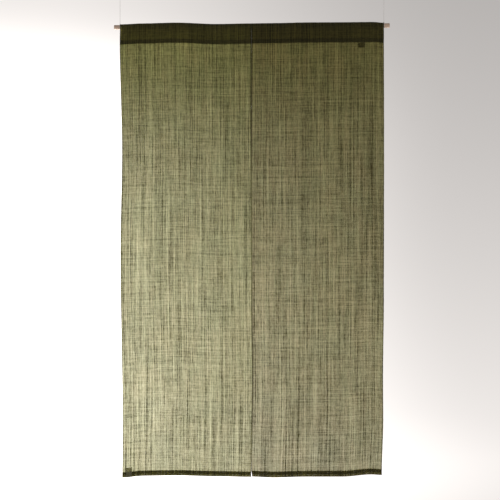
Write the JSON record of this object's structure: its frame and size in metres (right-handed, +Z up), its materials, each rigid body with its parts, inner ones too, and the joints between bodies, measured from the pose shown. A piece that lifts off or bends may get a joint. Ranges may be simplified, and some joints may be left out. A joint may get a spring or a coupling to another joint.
{
  "type": "noren curtain on a rod",
  "caption": "Sheer woven noren curtain, slit down its middle, hanging by its rod pocket from a plain wooden rod on white cords.",
  "frame": {"origin": "the middle of the rod, on its axis", "axes": "+X along the rod to the viewer's right, -Y towards the viewer, +Z up"},
  "size_m": [0.916, 0.0206, 1.6051],
  "materials": {
    "cloth": "sheer slubby hemp cloth, olive green, open plain weave",
    "rod": "bare pale wood, sanded",
    "cord": "white twisted cord",
    "label": "woven tape, dull olive, blank"
  },
  "bodies": {
    "root": {"panel_left": "cloth", "panel_right": "cloth", "rod": "rod", "label_top": "label", "label_bottom": "label", "cord_left": "cord", "cord_right": "cord", "tie_left": "cord", "tie_right": "cord", "eye_left": "cord", "eye_right": "cord"}
  },
  "joints": []
}
